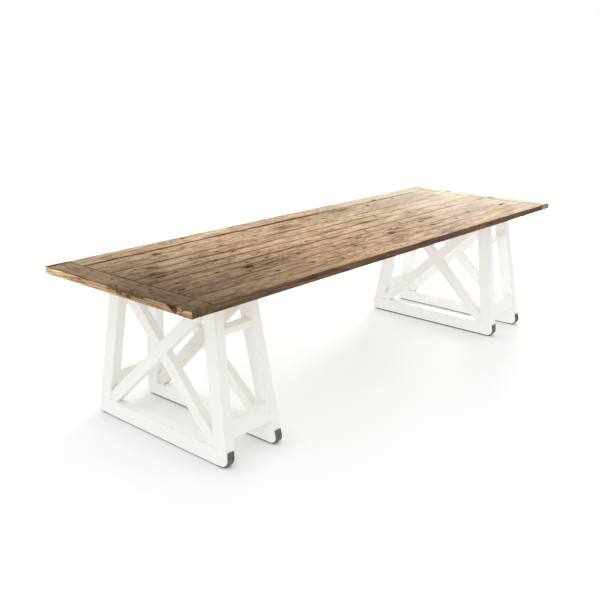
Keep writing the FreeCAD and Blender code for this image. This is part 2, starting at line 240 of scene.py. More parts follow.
def place_on(tree, turn=(0, 0, 0)):
    """Where a point is on the table, turned if asked."""
    place = put(tree, "TexCoord").outputs["Object"]
    return put(tree, "Mapping", Vector=place, Rotation=turn).outputs[0] if any(turn) else place


print("helpers for materials ready")

# %% [markdown]
# ## Floor and world
# The table was photographed on white paper in soft light from all sides. A floor and a world that
# are white to the camera give that paper, and the floor keeps the soft shadows: its glow is weaker
# close to what stands on it. The world that lights the table is brighter overhead than at the
# horizon, and below it gives the light that the paper throws back, which the floor lets through.

# %% The floor
FLOOR_SIDE = 60.0
FLOOR_COLOUR = (0.66, 0.66, 0.66)
FLOOR_GLOW = 0.295
SHADE_REACH = 0.18
SHADE_SAMPLES = 8
WHITE = (1, 1, 1)


def seen_directly(tree):
    """One for what the camera sees, also in reflections and through glass."""
    path = put(tree, "LightPath").outputs
    return largest(path[f"Is {kind} Ray"] for kind in ("Camera", "Glossy", "Transmission"))


bm = bmesh.new()
bmesh.ops.create_grid(bm, x_segments=1, y_segments=1, size=FLOOR_SIDE / 2)
floor_mesh = bpy.data.meshes.new("floor")
bm.to_mesh(floor_mesh)
bm.free()
floor = new_object("floor", floor_mesh)
floor.visible_diffuse = False

paper = bpy.data.materials.new("paper")
tree = empty_tree(paper)
matte = put(tree, "BsdfDiffuse", Color=FLOOR_COLOUR)
clear = put(tree, "AmbientOcclusion", {"samples": SHADE_SAMPLES}, Distance=SHADE_REACH).outputs["AO"]
level = times(clear, FLOOR_GLOW)
glow = put(tree, "Emission", Color=WHITE, Strength=times(seen_directly(tree), level))
both = put_for((matte.outputs[0], glow.outputs[0]), "AddShader")
wire(both.outputs[0], put(tree, "OutputMaterial").inputs["Surface"])
floor_mesh.materials.append(paper)
print("white floor of", FLOOR_SIDE, "m")

# %% The world
SKY_COLOUR = (1.0, 0.99, 0.972)
SKY_LOW = 0.78
SKY_HIGH = 1.14
SKY_FULL = 0.7
PAPER_LIGHT = 0.95
HORIZON_BLUR = 0.06

world = bpy.data.worlds.new("studio")
scene.world = world
tree = empty_tree(world)
rise = axis(put(tree, "TexCoord").outputs["Generated"], "Z")
overhead = ease(rise, 0.0, SKY_FULL, SKY_LOW, SKY_HIGH)
level = ease(rise, -HORIZON_BLUR, 0.0, PAPER_LIGHT, overhead)
sky = put(tree, "Background", Color=SKY_COLOUR, Strength=level)
backdrop = put(tree, "Background", Color=WHITE, Strength=1.0)
chosen = put_for((seen_directly(tree), sky.outputs[0], backdrop.outputs[0]), "MixShader")
wire(chosen.outputs[0], put(tree, "OutputWorld").inputs["Surface"])
scene.view_settings.view_transform = "Standard"
print("world lights from", SKY_LOW, "to", SKY_HIGH)

# %% [markdown]
# ## Lamps
# One strong lamp would throw hard shadows, and the photograph has none. So the world gives most of
# the light, and the lamps add what it lacks: a weak key above, a low lamp past the far end that
# makes the top shine there, a large fill far off to the left, and under each end of the top a
# small one for the light that the white frames throw at each other.

# %% Lamps
# Each row is the name, the place, the spot it points at, its two sides and its watts
LAMPS = (
    ("key", (1.6, 1.9, 2.9), (0.0, 0.0, 0.75), (2.0, 2.0), 10),
    ("glare", (5.7, 2.3, 1.45), (1.4, 0.0, 0.775), (1.6, 1.6), 260),
    ("left_fill", (-21.0, -4.0, 5.2), (0.0, 0.0, 0.45), (8.0, 8.0), 420),
)
UNDER_GAP = 0.004
UNDER_WIDTH_SHARE = 0.75
UNDER_LENGTH = 0.8
UNDER_WATTS = 0.17


def soft_lamp(name, place, aim, sides, watts):
    """An area lamp that points at a spot."""
    data = bpy.data.lights.new(name, "AREA")
    data.shape = "RECTANGLE"
    data.size, data.size_y = sides
    data.energy = watts
    lamp = new_object(name, data)
    lamp.location = place
    lamp.rotation_euler = (Vector(place) - Vector(aim)).to_track_quat("Z", "Y").to_euler()
    return lamp


for row in LAMPS:
    soft_lamp(*row)
for side in ("left", "right"):
    bar_low, bar_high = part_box(f"{side}_front_upper_bar")
    middle, width = (bar_low.x + bar_high.x) / 2, bar_high.x - bar_low.x
    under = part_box(f"{side}_batten")[0].z - UNDER_GAP
    lamp = soft_lamp(f"{side}_under", (middle, 0.0, under), (middle, 0.0, 0.0),
                     (UNDER_WIDTH_SHARE * width, UNDER_LENGTH), UNDER_WATTS)
    lamp.visible_camera = False
print(len(LAMPS), "lamps round the table and one under each end, at", round(under, 3), "m")

# %% [markdown]
# ## Finishes of old pine
# An old pine board has growth rings drawn out along its length, finer fibres and short dark flecks
# over them, the strokes of the saw across it, and knots round which the grain swerves. A picture of
# wood would fix all this to one board; node groups give every board its own. The first group bends
# the grain round one knot and puts out the knot's masks, so knots can be chained, and the second
# draws the grain itself.

# %% The knot group
KNOT_OUTLINE_NOISE = 85.0
KNOT_RAGGED = 2.8
SWERVE_SHARE = 0.8
SWERVE_FADE = -0.30

knot_group, given, result = new_group("knot", VECTOR_LABELS, ("Vector", "Core", "Rim", "Halo"))
offset = vector_calc("SUBTRACT", given["Vector"], given["Centre"])
share = vector_calc("DIVIDE", offset, given["Reach"])
far = vector_calc("LENGTH", vector_calc("MULTIPLY", share, (1, 1, 0)))
ragged = even_noise(given["Vector"], KNOT_OUTLINE_NOISE, 3.0)
outline = calc("ADD", far, calc("MULTIPLY_ADD", ragged, KNOT_RAGGED, -KNOT_RAGGED / 2))
swerve = calc("EXPONENT", times(times(far, far), SWERVE_FADE))
sideways = vector_calc("MULTIPLY", offset, (0, SWERVE_SHARE, 0))
pushed = vector_calc("MULTIPLY", sideways, swerve)
feed(result, Vector=vector_calc("SUBTRACT", given["Vector"], pushed),
     Core=ease(outline, 1.0, 0.75), Halo=ease(outline, 2.2, 0.8),
     Rim=times(ease(outline, 0.55, 0.85), ease(outline, 1.15, 0.9)))
print("knot group has", len(knot_group.nodes), "nodes")

# %% The grain group
# How tight each noise is along, across and through a board, then its detail and roughness
GRAIN_NOISES = {
    "Streaks": ((2.6, 38, 20), 5.0, 0.62), "Fibres": ((14, 520, 300), 2.0, 0.6),
    "Mottle": ((9, 50, 20), 6.0, 0.72), "Specks": ((13, 92, 20), 3.0, 0.65),
}
BOARD_STEP = (3.7, 0, 1.31)
RINGS_IN_ARCHES = 24.0
RINGS_PER_METRE = 30.0

grain_group, given, result = new_group(
    "pine_grain", ("Vector", "Board"), (*GRAIN_NOISES, "Rings", "Flecks", "Saw marks"))
along = vector_calc("MULTIPLY_ADD", given["Board"], BOARD_STEP, given["Vector"])
for name, (stretch, detail, roughness) in GRAIN_NOISES.items():
    wire(streaky_noise(along, stretch, detail, roughness), result[name])
arches = streaky_noise(along, (0.9, 8, 4), 1.0, 0.4)
across = times(axis(given["Vector"], "Y"), RINGS_PER_METRE)
ring = calc("FRACT", calc("MULTIPLY_ADD", arches, RINGS_IN_ARCHES, across))
dashes = ease(streaky_noise(along, (30, 105, 40), 2.0, 0.5), 0.58, 0.66)
crowds = ease(streaky_noise(along, (3.0, 9, 5), 2.0, 0.5), 0.40, 0.58)
strokes = calc("SUBTRACT", streaky_noise(along, (125, 15, 15), 2.0, 0.6), 0.5)
sawn = ease(streaky_noise(along, (2.2, 5, 5), 2.0, 0.5), 0.36, 0.58, 0.25, 1.0)
feed(result, Rings=times(ease(ring, 0.25, 0.85), ease(ring, 1.0, 0.9)),
     Flecks=times(dashes, crowds), Saw_marks=times(strokes, sawn))
print("grain group has", len(grain_group.nodes), "nodes")

# %% [markdown]
# ## Dirt in the seams, and patina and painted light on the top
# Wax and dirt lie in the seams, more in some than in others. The top is browner towards its near
# left corner, partly patina and partly painted shade of a light that falls off. Towards its far
# right end it is paler and its grain calmer, a painted sheen. The seams' mask comes from the
# distance to a plank's two edges, broken up by noise. The top's masks come from the place along
# and across the table, and one of them darkens the front and back planks from the middle towards the right
# end.

# %% The seam group
SEAM_CORE = 0.0036
SEAM_HALO = 0.013
CORE_LEAST = 0.0004
HALO_LEAST = 0.0005
HALO_SHARE = 0.55
SEAM_DARKEST = 0.96
SEAM_FADE = (-0.2, 1.5, 1.0, 0.48)

seam_group, given, result = new_group(
    "seam_dirt", ("Vector", "Back", "Front", "Back dirt", "Front dirt"), ("Dirt",))
along, across = (axis(given["Vector"], name) for name in "XY")
broken = ease(streaky_noise(given["Vector"], (2.6, 9, 9), 6.0, 0.72), 0.34, 0.62, 0.55, 1.25)
broken = times(broken, ease(along, *SEAM_FADE))
edges = []
for edge, sign in (("Back", 1), ("Front", -1)):
    inside = times(calc("SUBTRACT", given[edge], across), sign)
    strength = times(given[f"{edge} dirt"], broken)
    core_width = calc("MULTIPLY_ADD", strength, SEAM_CORE, CORE_LEAST)
    core = ease(inside, core_width, times(core_width, 0.4))
    halo_width = calc("MULTIPLY_ADD", strength, SEAM_HALO, HALO_LEAST)
    halo = times(ease(inside, halo_width, 0.0), times(strength, HALO_SHARE))
    edges.append(calc("MAXIMUM", core, halo))
wire(calc("MINIMUM", calc("MAXIMUM", *edges), SEAM_DARKEST), result["Dirt"])
print("seam group has", len(seam_group.nodes), "nodes")

# %% The patina group
# Bright grows away from the near left corner, where the top is browner: painted shade of a light that falls
# off, mixed with patina. Calm grows towards the far right end and the back, for a painted sheen there.
TOWARDS_LIGHT = (1.0, 0.73, 0)
BRIGHT_STEP = (-2.0, -0.1)
CALM_STEP = (0.0, 1.4, 0.0, 0.72)

patina_and_light_group, given, result = new_group("patina_and_light", ("Vector",), ("Bright", "Calm", "Cloud", "Tint", "Shade"))
lit = vector_calc("DOT_PRODUCT", given["Vector"], TOWARDS_LIGHT)
along, across = (axis(given["Vector"], name) for name in "XY")
sides = calc("MAXIMUM", ease(across, 0.12, 0.40, 0.0, 0.7), ease(across, 0.0, -0.36))
length = times(ease(along, -0.45, 0.15), ease(along, 1.5, 0.8))
feed(result, Bright=ease(lit, *BRIGHT_STEP), Calm=ease(lit, *CALM_STEP),
     Cloud=streaky_noise(given["Vector"], (2.4, 6, 6), 4.0, 0.6),
     Tint=streaky_noise(given["Vector"], (2.0, 9, 6), 3.0, 0.6), Shade=times(sides, length))
print("patina group has", len(patina_and_light_group.nodes), "nodes")

# %% [markdown]
# ## The face of a plank
# On the real top every plank has its own tone, its own knots and some darker stains. The knots and
# stains that the photograph shows are listed, from the middle of the table, and each plank
# takes up those that lie on it. Random knots would be less work, but not look like this table.

# %% Knots and stains of the top
def in_metres(*rows):
    """Rows that are written in millimetres, in metres."""
    return [[value / 1000 for value in row] for row in rows]


# Each row is the place along and across, the half length and the half width, in millimetres
KNOTS = in_metres(
    (-710, 479, 12, 8), (-360, 482, 14, 7), (-820, 369, 10, 5), (-560, 355, 9, 5), (-1020, 306, 24, 13),
    (-850, 316, 13, 7), (670, 316, 19, 10), (980, 345, 13, 9), (850, 402, 20, 9), (-690, 207, 14, 8),
    (-420, 227, 7, 11), (-1200, 119, 16, 9), (-970, 119, 13, 9), (-790, 123, 14, 7), (-730, 70, 18, 8),
    (-1260, 30, 13, 10), (420, 60, 12, 6), (-1270, -29, 16, 9), (-1170, -19, 12, 7), (-920, -6, 20, 5),
    (-330, -58, 13, 9), (650, -19, 13, 8), (1170, -25, 9, 6), (-660, -38, 11, 6), (-840, -137, 9, 6),
    (-710, -137, 11, 8), (-1050, -162, 16, 7), (-1280, -165, 16, 7), (80, -123, 10, 6),
    (1310, -117, 13, 7), (-890, -197, 32, 17), (-940, -255, 13, 9), (-1330, -255, 15, 10),
    (-550, -196, 13, 13), (-100, -206, 13, 8), (-320, -235, 12, 5), (190, -206, 22, 7),
    (480, -216, 22, 10), (900, -275, 18, 9), (120, -272, 27, 14), (450, -315, 24, 10),
    (1260, -301, 26, 12), (-850, -344, 16, 10), (-630, -364, 16, 8), (-240, -305, 11, 12),
    (-250, -372, 10, 6), (690, -324, 14, 8), (-480, -423, 11, 8),
)
STAINS = in_metres(
    (420, 345, 75, 26), (-150, 250, 60, 30), (-810, -212, 90, 32), (580, -190, 50, 18), (-920, 2, 45, 7),
    (-1260, 0, 42, 32), (-1200, 120, 30, 13), (1250, 220, 30, 12), (-660, -360, 30, 13),
    (-100, -190, 38, 14), (250, 8, 60, 7), (-920, 115, 40, 16), (220, -225, 40, 18),
)
print(len(KNOTS), "knots and", len(STAINS), "stains")

# %% Colours and helpers for a face
PALE = (0.74, 0.55, 0.365)
TAN = (0.565, 0.394, 0.247)
BROWN = (0.29, 0.187, 0.105)
# Painted shade and patina, towards the near left corner
SHADE_AND_PATINA_BROWN = (0.24, 0.22, 0.20)
CLOUD_BROWN = (0.84, 0.80, 0.76)
SHADE_BROWN = (0.78, 0.74, 0.70)
# A painted sheen, paler and greyer, towards the far right end
SHEEN_PALE = (1.0, 1.17, 1.34)
WARM_TINT = (1.02, 1.00, 0.95)
COOL_TINT = (0.98, 0.995, 1.02)
FLECK_BROWN = (0.37, 0.28, 0.20)
STAIN_GREY = (0.35, 0.30, 0.26)
KNOT_HALO = (0.20, 0.108, 0.048)
KNOT_CORE = (0.050, 0.022, 0.008)
KNOT_RIM = (0.020, 0.009, 0.004)
SEAM_DARK = (0.070, 0.028, 0.008)
# How much of each part of the grain shows as lightness and as relief
FACE_SHARES = {"Streaks": 0.55, "Mottle": 0.85, "Specks": 0.62, "Rings": -0.07, "Fibres": 0.22,
               "Saw marks": 0.52}
FACE_START = -0.40
FACE_RELIEF = {"Rings": 0.4, "Fibres": 0.45}
FACE_BUMP = 0.0007
# How far a painted sheen towards the far right end evens the grain, and how strongly it pales it
CALM_LIGHT = 0.70
SHEEN_SHARE = 1.39


def colour_ramp(value, *stops):
    """Colours along a value, each stop a place and a colour."""
    node = put(tree_of(value), "ValToRGB", Fac=value)
    elements = node.color_ramp.elements
    elements[0].position = stops[0][0]
    elements[-1].position = stops[-1][0]
    for place, colour in stops[1:-1]:
        elements.new(place)
    for element, (place, colour) in zip(elements, stops):
        element.color = (*colour, 1)
    return node.outputs[0]


def weighted(outputs, shares, start=0.0):
    """The sum of a group's outputs, each times its share."""
    total = start
    for name, share in shares.items():
        total = calc("MULTIPLY_ADD", outputs[name], share, total)
    return total


def knot_at(vector, row):
    """A knot or stain from one row of a list, its place and its half sizes."""
    return use(knot_group, Vector=vector, Centre=(*row[:2], 0), Reach=(*row[2:], 1))


def knot_chain(vector, knots):
    """Knots that each bend the grain: the bent vector and their masks."""
    masks = []
    for row in knots:
        masks.append(knot_at(vector, row))
        vector = masks[-1]["Vector"]
    return vector, masks


print("face helpers ready")

# %% The face of a plank
def old_pine(name, board, tone, knots, stains, turn=(0, 0, 0), even=0.0):
    """The worn face of one board with its own knots: material, tree, shader inputs and colour."""
    material, tree, shader = new_material(name, Specular_IOR_Level=0.06)
    spot = place_on(tree, turn)
    bent, masks = knot_chain(spot, knots)
    grain = use(grain_group, Vector=bent, Board=board)
    patina_and_light = use(patina_and_light_group, Vector=place_on(tree))
    light = weighted(grain, FACE_SHARES, FACE_START)
    calm = calc("MAXIMUM", patina_and_light["Calm"], even)
    light = calc("MULTIPLY_ADD", calc("SUBTRACT", CALM_LIGHT, light), calm, light)
    colour = colour_ramp(light, (0.53, BROWN), (0.68, TAN), (0.86, PALE))
    blots = largest(knot_at(spot, stain)["Halo"] for stain in stains)
    speckled = times(ease(grain["Mottle"], 0.66, 0.40, 0.18, 0.85), blots)
    # Among these glazes are painted shade towards the near left corner and a painted sheen at the far right
    # end
    for factor, glaze in (
            (1.0, tone),
            (1.0, mix(ease(patina_and_light["Tint"], 0.35, 0.65), WARM_TINT, COOL_TINT)),
            (calc("SUBTRACT", 1.0, patina_and_light["Bright"]), SHADE_AND_PATINA_BROWN),
            (ease(patina_and_light["Cloud"], 0.60, 0.38), CLOUD_BROWN),
            (patina_and_light["Shade"], SHADE_BROWN),
            (times(patina_and_light["Calm"], SHEEN_SHARE), SHEEN_PALE),
            (speckled, STAIN_GREY),
            (times(grain["Flecks"], calc("SUBTRACT", 1.0, patina_and_light["Calm"])), FLECK_BROWN)):
        colour = mix(factor, colour, glaze, "MULTIPLY")
    halo, core, rim = (largest(mask[part] for mask in masks) for part in ("Halo", "Core", "Rim"))
    halo = times(halo, 0.45)
    crack = put(tree, "Attribute", {"attribute_name": "crack"}).outputs["Fac"]
    for factor, cover in (
            (halo, KNOT_HALO), (times(core, 0.9), KNOT_CORE), (times(rim, 0.8), KNOT_RIM),
            (ease(crack, 0.15, 0.75), SEAM_DARK)):
        colour = mix(factor, colour, cover)
    dull = largest((core, rim, halo, crack, speckled))
    height = weighted(grain, FACE_RELIEF, times(core, 0.5))
    feed(shader, Normal=bump(height, FACE_BUMP),
         Roughness=calc("MAXIMUM", ease(light, 0.53, 0.86, 0.78, 0.60), dull))
    return material, tree, shader, colour


def seam_dirt(tree, turn, back, front, dirts):
    """The dirt along the two edges of a board, turned its way."""
    return use(seam_group, Vector=place_on(tree, turn), Back=back, Front=front,
               Back_dirt=dirts[0], Front_dirt=dirts[1])["Dirt"]


def dirty_seams(shader, colour, *masks):
    """Lay the dirt of the seams over a face: dark, and without any shine."""
    dirt = largest(masks)
    shine = shader["Roughness"].links[0].from_socket
    feed(shader, Base_Color=mix(dirt, colour, SEAM_DARK), Roughness=calc("MAXIMUM", shine, dirt))


print("face of a plank ready")

# %% [markdown]
# ## Edges and undersides
# The sawn edges and the undersides of the boards have no patina. The long edges are stained dark,
# the ends of the table show raw golden wood, and underneath the pine is rough from the saw. One
# function makes them all, from two colours and the way that the grain runs.

# %% Edges and undersides
QUARTER = math.pi / 2
FLAT = (0, 0, 0)
ON_EDGE = (-QUARTER, 0, 0)
CROSSWISE = (0, 0, -QUARTER)
ON_END = (-QUARTER, -QUARTER, 0)
SAWN_SHARES = {"Streaks": 0.5, "Rings": -0.14, "Fibres": 0.30, "Mottle": 0.60}
SAWN_RELIEF = {"Rings": 0.3, "Fibres": 0.6}
SAWN_BUMP = 0.0008


def sawn_pine(name, dark, light, turn, knots=(), board=0.0):
    """Sawn wood in two colours, with its grain turned the way it runs."""
    material, tree, shader = new_material(name, Roughness=0.8, Specular_IOR_Level=0.2)
    bent, masks = knot_chain(place_on(tree, turn), knots)
    grain = use(grain_group, Vector=bent, Board=board)
    colour = colour_ramp(weighted(grain, SAWN_SHARES), (0.46, dark), (0.82, light))
    for part, share, cover in (("Halo", 0.6, KNOT_HALO), ("Core", 0.85, KNOT_CORE)):
        colour = mix(times(largest(mask[part] for mask in masks), share), colour, cover)
    height = weighted(grain, SAWN_RELIEF)
    feed(shader, Base_Color=colour, Normal=bump(height, SAWN_BUMP))
    return material


stained_edge = sawn_pine("stained_edge", (0.054, 0.030, 0.018), (0.192, 0.115, 0.069), ON_EDGE)
dark_break = sawn_pine("dark_break", (0.035, 0.020, 0.012), (0.20, 0.115, 0.062), ON_END, board=3.0)
underside_pine = sawn_pine("underside_pine", (0.75, 0.69, 0.61), (0.88, 0.84, 0.77), FLAT, board=4.0)
batten_pine = sawn_pine("batten_pine", (0.42, 0.29, 0.17), (0.66, 0.49, 0.31), CROSSWISE, board=7.0)
print("edges and undersides ready")

# %% [markdown]
# ## Copies of the CAD boards
# The CAD mesh of a board is loose triangles. A copy is merged and its flat faces are made whole
# again, so that its edges can be picked, cut and bevelled. A new piece rides on the table's one
# body, stands for its CAD solid and takes the finishes that it is given.

# %% Copies of the CAD boards
MERGE_DISTANCE = 1e-5
FLAT_ANGLE = math.radians(0.4)
SMOOTH_ANGLE = math.radians(32)
FLAT_AREA = 0.001


def copy_of(node):
    """A merged copy of a CAD solid with whole flat faces."""
    bm = bmesh.new()
    bm.from_mesh(nodes[node].data)
    bmesh.ops.remove_doubles(bm, verts=bm.verts[:], dist=MERGE_DISTANCE)
    bmesh.ops.dissolve_limit(bm, angle_limit=FLAT_ANGLE, verts=bm.verts[:], edges=bm.edges[:])
    bmesh.ops.recalc_face_normals(bm, faces=bm.faces[:])
    return bm


def new_piece(bm, name, materials, stands_for=None):
    """A finished piece of the table."""
    mesh = bpy.data.meshes.new(name)
    bm.to_mesh(mesh)
    bm.free()
    for material in materials:
        mesh.materials.append(material)
    mesh.shade_smooth()
    mesh.set_sharp_from_angle(angle=SMOOTH_ANGLE)
    for polygon in mesh.polygons:
        polygon.use_smooth = polygon.area < FLAT_AREA
    piece = new_object(name, mesh)
    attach(piece, "root")
    if stands_for:
        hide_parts(stands_for)
    return piece


def uneven(place, scale, seed):
    """A wandering number from 0 to 1 along a place."""
    point = Vector((place[0] * scale[0], place[1] * scale[1], seed))
    return min(1.0, max(0.0, 0.5 + 0.75 * noise.fractal(point, 1.0, 2.0, 3)))


print("ready to copy", len(nodes), "boards")

# %% [markdown]
# ## The planks
# Wear has rounded the planks' arrises unevenly and left their faces a little wavy. The long edges
# of a plank's face and chamfers are subdivided into a fine grid, and each point is then lowered or
# drawn in by a fraction of a millimetre, more on the two open edges than in the seams.

# %% Cut and number the faces
TOP_LEVEL = cad_high.z
CHAMFER_DEPTH = 0.002
LONG_EDGE = 0.9
FRONT_WEAR = 0.0014
LOOKS_UP, LOOKS_DOWN = 0.3, -0.5
FACE, EDGE, BELOW = range(3)


def is_face_level(vert):
    """Whether a point lies on the flat face of the top."""
    return abs(vert.co.z - TOP_LEVEL) < MERGE_DISTANCE


def is_near_face(vert):
    """Whether a point lies on the face of the top or on its worn chamfers."""
    return vert.co.z > TOP_LEVEL - CHAMFER_DEPTH - FRONT_WEAR


def grid_edges(bm, way, reach):
    """The edges of the face and its chamfers that run one way, 0 along and 1 across."""
    return [edge for edge in bm.edges
            if all(vert.co.z > TOP_LEVEL - CHAMFER_DEPTH for vert in edge.verts)
            and abs(edge.verts[0].co[way] - edge.verts[1].co[way]) > reach]


def subdivide(bm, edges, spacing):
    """Cut edges into steps, and the faces between them into a grid."""
    cuts = int(edges[0].calc_length() / spacing)
    bmesh.ops.subdivide_edges(bm, edges=edges, cuts=cuts, use_grid_fill=True)


def cut_grid(bm, way, spacing, cross_spacing, more_edges=()):
    """Cut the face of a board into a grid, and other long edges with it."""
    subdivide(bm, grid_edges(bm, way, LONG_EDGE) + list(more_edges), spacing)
    rungs = grid_edges(bm, 1 - way, 2 * CHAMFER_DEPTH)
    subdivide(bm, [edge for edge in rungs if all(map(is_face_level, edge.verts))], cross_spacing)


def number_faces(bm):
    """Number the faces of a board by finish: on top, on its edges, underneath."""
    for face in bm.faces:
        if face.normal.z > LOOKS_UP and face.calc_center_median().z > TOP_LEVEL - 3 * CHAMFER_DEPTH:
            face.material_index = FACE
        else:
            face.material_index = BELOW if face.normal.z < LOOKS_DOWN else EDGE


print("face of the top at", round(TOP_LEVEL, 3), "m")

# %% Shape the planks
GRID_ALONG = 0.010
GRID_ACROSS = 0.009
FACE_WAVE = 0.00035
ARRIS_WEAR = 0.0011
SINK_SHARE = 0.25
# How many waves there are in a metre along and across
PLANK_WAVES = (3.0, 14.0)
DRAWN_WAVES = (9.0, 1.0)
SUNK_WAVES = (11.0, 1.0)
# Steps to another part of the noise, for the other side and for the chamfers
SIDE_STEP = 5.3
CHAMFER_STEP = 2.7


def weather_plank(bm, back, front, board, wears):
    """Lower the face in waves and wear its two long arrises."""
    for vert in [vert for vert in bm.verts if vert.co.z > TOP_LEVEL - CHAMFER_DEPTH]:
        spot = vert.co.copy()
        side = 0 if spot.y > (back + front) / 2 else 1
        seed = board + SIDE_STEP * side
        if not is_face_level(vert):
            vert.co.z -= wears[side] * uneven(spot, SUNK_WAVES, seed + CHAMFER_STEP)
            continue
        vert.co.z -= FACE_WAVE * uneven(spot, PLANK_WAVES, board)
        if abs(spot.y - (back, front)[side]) < CHAMFER_DEPTH:
            drawn = wears[side] * uneven(spot, DRAWN_WAVES, seed)
            vert.co.y += (-drawn, drawn)[side]
            vert.co.z -= drawn * SINK_SHARE


PLANK_TONES = (
    (1.17, 1.22, 1.25), (0.96, 0.96, 0.95), (0.93, 0.93, 0.92), (0.96, 0.94, 0.91),
    (1.00, 0.98, 0.95), (0.93, 0.91, 0.88), (0.92, 0.90, 0.87), (0.91, 0.90, 0.87),
    (0.98, 0.95, 0.91), (1.03, 0.985, 0.92),
)
# How dirty each seam is, from the table's back edge to its front edge
SEAM_DIRTS = (0.6, 1.8, 0.55, 1.05, 0.95, 1.05, 1.1, 0.5, 0.65, 0.6, 0.6)
END_DIRT = 1.0
STAIN_MARGIN = 0.05
LEFT_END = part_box("left_end_board")[1].x
RIGHT_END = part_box("right_end_board")[0].x
plank_nodes = sorted(name for name in nodes if name.startswith("top_plank"))
plank_backs = [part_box(name)[1].y for name in plank_nodes] + [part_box(plank_nodes[-1])[0].y]
for index, name in enumerate(plank_nodes):
    back, front = plank_backs[index], plank_backs[index + 1]
    on_plank = [knot for knot in KNOTS if front < knot[1] < back]
    near_plank = [stain for stain in STAINS if front - STAIN_MARGIN < stain[1] < back + STAIN_MARGIN]
    board = index + 1.0
    finish, tree, shader, colour = old_pine(f"{name}_face", board, PLANK_TONES[index], on_plank, near_plank)
    dirty_seams(shader, colour,
                seam_dirt(tree, FLAT, back, front, SEAM_DIRTS[index:index + 2]),
                seam_dirt(tree, CROSSWISE, -LEFT_END, -RIGHT_END, (END_DIRT, END_DIRT)))
    bm = copy_of(name)
    cut_grid(bm, 0, GRID_ALONG, GRID_ACROSS)
    wears = [FRONT_WEAR if name == outer else ARRIS_WEAR for outer in (plank_nodes[0], plank_nodes[-1])]
    weather_plank(bm, back, front, board, wears)
    number_faces(bm)
    new_piece(bm, f"{name}_worn", (finish, stained_edge, underside_pine), name)
print(len(plank_nodes), "planks, seams at", [round(edge, 3) for edge in plank_backs])

# %% [markdown]
# ## The end boards
# A board across each end covers the ends of the planks, and its grain runs the other way. Its outer
# edge is raw and golden, with painted light that makes it paler towards the back, and its ends show
# end grain, dark at the left and pale at the right. The left board is broken at its near corner: a
# piece has torn out of its outer arris and a crack runs from there to the planks. Cutting the break
# with a boolean would leave slivers, so the face and the outer edge get a fine grid, and the points
# near the arris are moved onto the slope of the break.

# %% Wear of the end boards
# The worn outer edge of the left end, from front to back: the place across the table, how far the wear
# drops, how far it reaches into the face and how deep it is scooped out, in millimetres
WORN_EDGE = in_metres(
    (-511, 1, 1, 0), (-462, 8.6, 1.5, 0), (-447, 15.6, 2, 1), (-432, 23.8, 3, 3), (-416, 30.5, 4.5, 6),
    (-402, 27.4, 5, 9), (-389, 23.4, 4.5, 10), (-372, 17.7, 3, 7), (-357, 10.5, 1.5, 3),
    (-343, 1.5, 0.3, 0), (-250, 1.5, 0.3, 0), (-215, 6, 1.2, 0), (-180, 12, 2, 1), (-140, 14, 2.2, 1.5),
    (-100, 17.5, 3, 2), (-50, 16.5, 2.6, 1.5), (-10, 12, 1.8, 1), (30, 6, 1, 0), (70, 2, 0.4, 0),
    (511, 1.5, 0.3, 0),
)
FRESH_BREAK = (-0.447, -0.414)
WEAR_BLEND = 0.016
END_WAVES = (14.0, 3.0)
END_SUNK_WAVES = (1.0, 11.0)
DROP_LEAST, DROP_SPREAD, DROP_WAVES = 0.7, 0.6, (45.0, 1.0)
SCOOP_LEAST, SCOOP_SPREAD, SCOOP_WAVES = 0.4, 1.2, (70.0, 240.0)
BREAK_CRACK = in_metres((-1502, -404), (-1470, -406), (-1446, -412), (-1410, -396), (-1386, -398))
JOINT_CRACK = in_metres((-1386, -398), (-1380, -424), (-1383, -463), (-1387, -489), (-1384, -512))
CRACK_HALF_WIDTH = 0.0048
CRACK_DEPTH = 0.005


def wear_at(across):
    """How far the outer edge is worn down, in and out at a place across the table."""
    for (start, *low), (end, *high) in zip(WORN_EDGE, WORN_EDGE[1:]):
        if start <= across <= end:
            share = (across - start) / (end - start)
            return [first + share * (second - first) for first, second in zip(low, high)]
    return [0.0, 0.0, 0.0]


def wear_outer_edge(bm, outer):
    """Push the upper part of the outer edge in, and draw the face back from it."""
    worn = set()
    for vert in bm.verts:
        drop, reach, scoop = wear_at(vert.co.y)
        drop *= DROP_LEAST + DROP_SPREAD * uneven((vert.co.y, 0.0), DROP_WAVES, 3.3)
        scoop *= SCOOP_LEAST + SCOOP_SPREAD * uneven(vert.co.yz, SCOOP_WAVES, 8.1)
        inward, below = abs(vert.co.x - outer), TOP_LEVEL - vert.co.z
        if inward < MERGE_DISTANCE and below < drop:
            rise = 1.0 - below / drop
            vert.co.x = outer + reach * rise + scoop * 4.0 * rise * (1.0 - rise)
            worn.add(vert)
        elif is_near_face(vert) and inward < WEAR_BLEND:
            vert.co.x = outer + reach + inward * (1.0 - reach / WEAR_BLEND)
    return worn


def weather_end_board(bm, seed):
    """Lower the face of an end board in waves and wear its arrises."""
    for vert in [vert for vert in bm.verts if is_near_face(vert)]:
        spot = vert.co.copy()
        if is_face_level(vert):
            vert.co.z -= FACE_WAVE * uneven(spot, END_WAVES, seed)
        else:
            vert.co.z -= ARRIS_WEAR * uneven(spot, END_SUNK_WAVES, seed + spot.x)


def from_path(spot, path):
    """The distance of a point from a line of points, seen from above."""
    reaches = []
    for start, end in zip(path, path[1:]):
        run = Vector(end) - Vector(start)
        share = min(1.0, max(0.0, (spot.xy - Vector(start)).dot(run) / run.length_squared))
        reaches.append((spot.xy - Vector(start) - share * run).length)
    return min(reaches)


